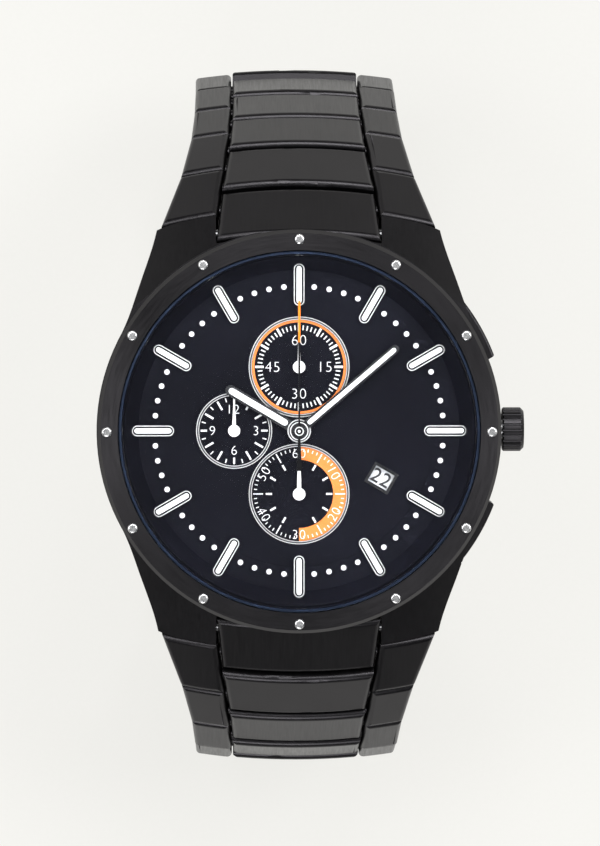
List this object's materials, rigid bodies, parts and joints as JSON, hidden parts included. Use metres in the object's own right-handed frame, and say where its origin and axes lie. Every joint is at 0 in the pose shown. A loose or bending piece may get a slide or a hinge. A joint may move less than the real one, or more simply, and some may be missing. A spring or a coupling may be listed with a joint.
{
  "type": "chronograph wristwatch",
  "caption": "Round chronograph wristwatch with sub-dials, a crown, push buttons and a hinged three-row metal bracelet with a folding clasp.",
  "frame": {"origin": "centre of the case back's outer face, which lies on the wrist", "axes": "+Z out of the dial, +Y towards 12 o'clock, +X towards the crown at 3 o'clock"},
  "size_m": [0.0447, 0.076, 0.0544],
  "materials": {
    "coated_metal": "black satin-brushed coating",
    "polished_dark": "polished dark metal",
    "pin_steel": "turned steel",
    "sapphire": "clear, coated inside",
    "dial_black": "matt black with a navy tint",
    "rehaut_black": "satin black",
    "seal_rubber": "moulded rubber",
    "plate_brass": "nickel-plated brass",
    "gear_brass": "cut brass",
    "hand_dark": "polished dark frame",
    "hand_white": "white lacquer",
    "board": "green circuit board",
    "cell_steel": "plated steel can",
    "coil_copper": "enamelled copper wire",
    "holder_plastic": "moulded plastic",
    "date_white": "silver-white print",
    "lume": "white luminous compound",
    "orange_print": "orange print",
    "white_print": "white print"
  },
  "bodies": {
    "case": {"battery": "cell_steel", "battery_clamp": "pin_steel", "bezel": "coated_metal", "bezel_studs": "polished_dark", "case_back": "coated_metal", "case_back_screws": "pin_steel", "case_seals": "seal_rubber", "circuit_board": "board", "crown_tube": "pin_steel", "crystal": "sapphire", "crystal_gasket": "seal_rubber", "date_frame": "polished_dark", "dial": "dial_black", "dial_markers": "polished_dark", "lug_pins": "pin_steel", "mid_case": "coated_metal", "motor_coils": "coil_copper", "movement_bridge": "plate_brass", "movement_holder": "holder_plastic", "movement_main_plate": "plate_brass", "pusher_springs": "pin_steel", "pusher_tubes": "pin_steel", "rehaut_ring": "rehaut_black", "subdial_rings": "polished_dark"},
    "crown_slide": {"crown_gasket": "seal_rubber"},
    "crown_turn": {"crown": "coated_metal", "stem": "pin_steel"},
    "pusher_2": {"pusher_2": "coated_metal"},
    "pusher_4": {"pusher_4": "coated_metal"},
    "minute": {"minute_hand": "hand_dark", "cannon_pinion": "gear_brass"},
    "hour": {"hour_hand": "hand_dark", "hour_wheel": "gear_brass"},
    "minute_wheel": {"minute_wheel": "gear_brass"},
    "date_disc": {"date_disc": "date_white"},
    "chrono_seconds": {"chrono_seconds_hand": "orange_print"},
    "small_seconds": {"small_seconds_hand": "hand_white"},
    "chrono_minute": {"chrono_minute_hand": "hand_white"},
    "chrono_hour": {"chrono_hour_hand": "hand_white"},
    "link_12_1": {"link_12_1": "coated_metal"},
    "link_12_2": {"link_12_2": "coated_metal"},
    "link_12_3": {"link_12_3": "coated_metal"},
    "link_12_4": {"link_12_4": "coated_metal"},
    "link_12_5": {"link_12_5": "coated_metal"},
    "link_12_6": {"link_12_6": "coated_metal"},
    "link_12_7": {"link_12_7": "coated_metal"},
    "link_6_1": {"link_6_1": "coated_metal"},
    "link_6_2": {"link_6_2": "coated_metal"},
    "link_6_3": {"link_6_3": "coated_metal"},
    "link_6_4": {"link_6_4": "coated_metal"},
    "link_6_5": {"link_6_5": "coated_metal"},
    "link_6_6": {"link_6_6": "coated_metal"},
    "link_6_7": {"link_6_7": "coated_metal"},
    "clasp_cover": {"clasp_cover": "coated_metal", "clasp_blade_pin": "pin_steel"},
    "clasp_blade_outer": {"clasp_blade_outer": "pin_steel"},
    "clasp_blade_inner": {"clasp_blade_inner": "pin_steel", "clasp_fold_pins": "pin_steel"},
    "clasp_button_left": {"clasp_button_left": "coated_metal"},
    "clasp_button_right": {"clasp_button_right": "coated_metal"}
  },
  "joints": [
    {"name": "bracelet_12_1", "type": "hinge", "parent": "case", "child": "link_12_1", "pos_m": [0, 0.0204, 0.005], "axis": [1, 0, 0], "range_deg": [0, 8]},
    {"name": "bracelet_12_2", "type": "hinge", "parent": "link_12_1", "child": "link_12_2", "pos_m": [0, 0.02522, -0.00035], "axis": [1, 0, 0], "range_deg": [0, 10]},
    {"name": "bracelet_12_3", "type": "hinge", "parent": "link_12_2", "child": "link_12_3", "pos_m": [0, 0.02903, -0.00646], "axis": [1, 0, 0], "range_deg": [0, 9]},
    {"name": "bracelet_12_4", "type": "hinge", "parent": "link_12_3", "child": "link_12_4", "pos_m": [0, 0.03185, -0.01308], "axis": [1, 0, 0], "range_deg": [0, 4]},
    {"name": "bracelet_12_5", "type": "hinge", "parent": "link_12_4", "child": "link_12_5", "pos_m": [0, 0.03419, -0.01989], "axis": [1, 0, 0], "range_deg": [0, 7]},
    {"name": "bracelet_12_6", "type": "hinge", "parent": "link_12_5", "child": "link_12_6", "pos_m": [0, 0.03569, -0.02693], "axis": [1, 0, 0], "range_deg": [0, 37]},
    {"name": "bracelet_12_7", "type": "hinge", "parent": "link_12_6", "child": "link_12_7", "pos_m": [0, 0.03264, -0.03346], "axis": [1, 0, 0], "range_deg": [0, 35]},
    {"name": "bracelet_12_clasp", "type": "hinge", "parent": "link_12_7", "child": "clasp_cover", "pos_m": [0, 0.02641, -0.03706], "axis": [1, 0, 0], "range_deg": [0, 10.21]},
    {"name": "clasp_blade_outer", "type": "hinge", "parent": "clasp_cover", "child": "clasp_blade_outer", "pos_m": [0, -0.02205, -0.03859], "axis": [1, 0, 0], "range_deg": [0, 170]},
    {"name": "clasp_blade_inner", "type": "hinge", "parent": "clasp_blade_outer", "child": "clasp_blade_inner", "pos_m": [0, 0.01897, -0.03865], "axis": [-1, 0, 0], "range_deg": [0, 170]},
    {"name": "bracelet_6_1", "type": "hinge", "parent": "case", "child": "link_6_1", "pos_m": [0, -0.0206, 0.005], "axis": [-1, 0, 0], "range_deg": [0, 8]},
    {"name": "bracelet_6_2", "type": "hinge", "parent": "link_6_1", "child": "link_6_2", "pos_m": [0, -0.02612, 0.00037], "axis": [-1, 0, 0], "range_deg": [0, 14]},
    {"name": "bracelet_6_3", "type": "hinge", "parent": "link_6_2", "child": "link_6_3", "pos_m": [0, -0.03035, -0.00545], "axis": [-1, 0, 0], "range_deg": [0, 10]},
    {"name": "bracelet_6_4", "type": "hinge", "parent": "link_6_3", "child": "link_6_4", "pos_m": [0, -0.0335, -0.01192], "axis": [-1, 0, 0], "range_deg": [0, 12]},
    {"name": "bracelet_6_5", "type": "hinge", "parent": "link_6_4", "child": "link_6_5", "pos_m": [0, -0.03525, -0.01891], "axis": [-1, 0, 0], "range_deg": [0, 12]},
    {"name": "bracelet_6_6", "type": "hinge", "parent": "link_6_5", "child": "link_6_6", "pos_m": [0, -0.0355, -0.02611], "axis": [-1, 0, 0], "range_deg": [0, 27]},
    {"name": "bracelet_6_7", "type": "hinge", "parent": "link_6_6", "child": "link_6_7", "pos_m": [0, -0.03245, -0.03263], "axis": [-1, 0, 0], "range_deg": [0, 35]},
    {"name": "pusher_2_press", "type": "slide", "parent": "case", "child": "pusher_2", "axis": [-0.866, -0.5, 0], "range_m": [0, 0.0008], "stiffness_N_per_m": 300},
    {"name": "pusher_4_press", "type": "slide", "parent": "case", "child": "pusher_4", "axis": [-0.866, 0.5, 0], "range_m": [0, 0.0008], "stiffness_N_per_m": 300},
    {"name": "crown_pull", "type": "slide", "parent": "case", "child": "crown_slide", "axis": [1, 0, 0], "range_m": [0, 0.001]},
    {"name": "crown_turn", "type": "hinge", "parent": "crown_slide", "child": "crown_turn", "pos_m": [0, 0, 0.0046], "axis": [1, 0, 0], "continuous": true},
    {"name": "minute_turn", "type": "hinge", "parent": "case", "child": "minute", "pos_m": [0, 0, 0.00715], "axis": [0, 0, -1], "continuous": true},
    {"name": "hour_turn", "type": "hinge", "parent": "case", "child": "hour", "pos_m": [0, 0, 0.00715], "axis": [0, 0, -1], "continuous": true},
    {"name": "minute_wheel_turn", "type": "hinge", "parent": "case", "child": "minute_wheel", "pos_m": [0.0017, 0.0017, 0.00715], "axis": [0, 0, -1], "continuous": true},
    {"name": "date_disc_turn", "type": "hinge", "parent": "case", "child": "date_disc", "pos_m": [0, 0, 0.00715], "axis": [0, 0, -1], "continuous": true},
    {"name": "small_seconds_turn", "type": "hinge", "parent": "case", "child": "small_seconds", "pos_m": [0, 0.00667, 0.00715], "axis": [0, 0, -1], "continuous": true},
    {"name": "chrono_seconds_turn", "type": "hinge", "parent": "case", "child": "chrono_seconds", "pos_m": [0, 0, 0.00715], "axis": [0, 0, -1], "continuous": true},
    {"name": "chrono_minute_turn", "type": "hinge", "parent": "case", "child": "chrono_minute", "pos_m": [0, -0.00663, 0.00715], "axis": [0, 0, -1], "continuous": true},
    {"name": "chrono_hour_turn", "type": "hinge", "parent": "case", "child": "chrono_hour", "pos_m": [-0.00679, 0, 0.00715], "axis": [0, 0, -1], "continuous": true},
    {"name": "clasp_button_right_press", "type": "slide", "parent": "clasp_cover", "child": "clasp_button_right", "axis": [-1, 0, 0], "range_m": [0, 0.0006], "stiffness_N_per_m": 300},
    {"name": "clasp_button_left_press", "type": "slide", "parent": "clasp_cover", "child": "clasp_button_left", "axis": [1, 0, 0], "range_m": [0, 0.0006], "stiffness_N_per_m": 300}
  ],
  "couplings": [
    {"joint": "bracelet_12_2", "follows": "bracelet_12_1", "ratio": 1.25},
    {"joint": "bracelet_12_3", "follows": "bracelet_12_1", "ratio": 1.125},
    {"joint": "bracelet_12_4", "follows": "bracelet_12_1", "ratio": 0.5},
    {"joint": "bracelet_12_5", "follows": "bracelet_12_1", "ratio": 0.875},
    {"joint": "bracelet_12_6", "follows": "bracelet_12_1", "ratio": 4.625},
    {"joint": "bracelet_12_7", "follows": "bracelet_12_1", "ratio": 4.375},
    {"joint": "bracelet_12_clasp", "follows": "bracelet_12_1", "ratio": 1.2762},
    {"joint": "clasp_blade_outer", "follows": "bracelet_12_1", "ratio": 21.25},
    {"joint": "clasp_blade_inner", "follows": "bracelet_12_1", "ratio": 21.25},
    {"joint": "bracelet_6_1", "follows": "bracelet_12_1", "ratio": 1},
    {"joint": "bracelet_6_2", "follows": "bracelet_12_1", "ratio": 1.75},
    {"joint": "bracelet_6_3", "follows": "bracelet_12_1", "ratio": 1.25},
    {"joint": "bracelet_6_4", "follows": "bracelet_12_1", "ratio": 1.5},
    {"joint": "bracelet_6_5", "follows": "bracelet_12_1", "ratio": 1.5},
    {"joint": "bracelet_6_6", "follows": "bracelet_12_1", "ratio": 3.375},
    {"joint": "bracelet_6_7", "follows": "bracelet_12_1", "ratio": 4.375},
    {"joint": "hour_turn", "follows": "minute_turn", "ratio": 0.083333},
    {"joint": "minute_wheel_turn", "follows": "minute_turn", "ratio": -0.33333},
    {"joint": "date_disc_turn", "follows": "minute_turn", "ratio": 0.0013441},
    {"joint": "chrono_hour_turn", "follows": "chrono_minute_turn", "ratio": 0.083333}
  ]
}
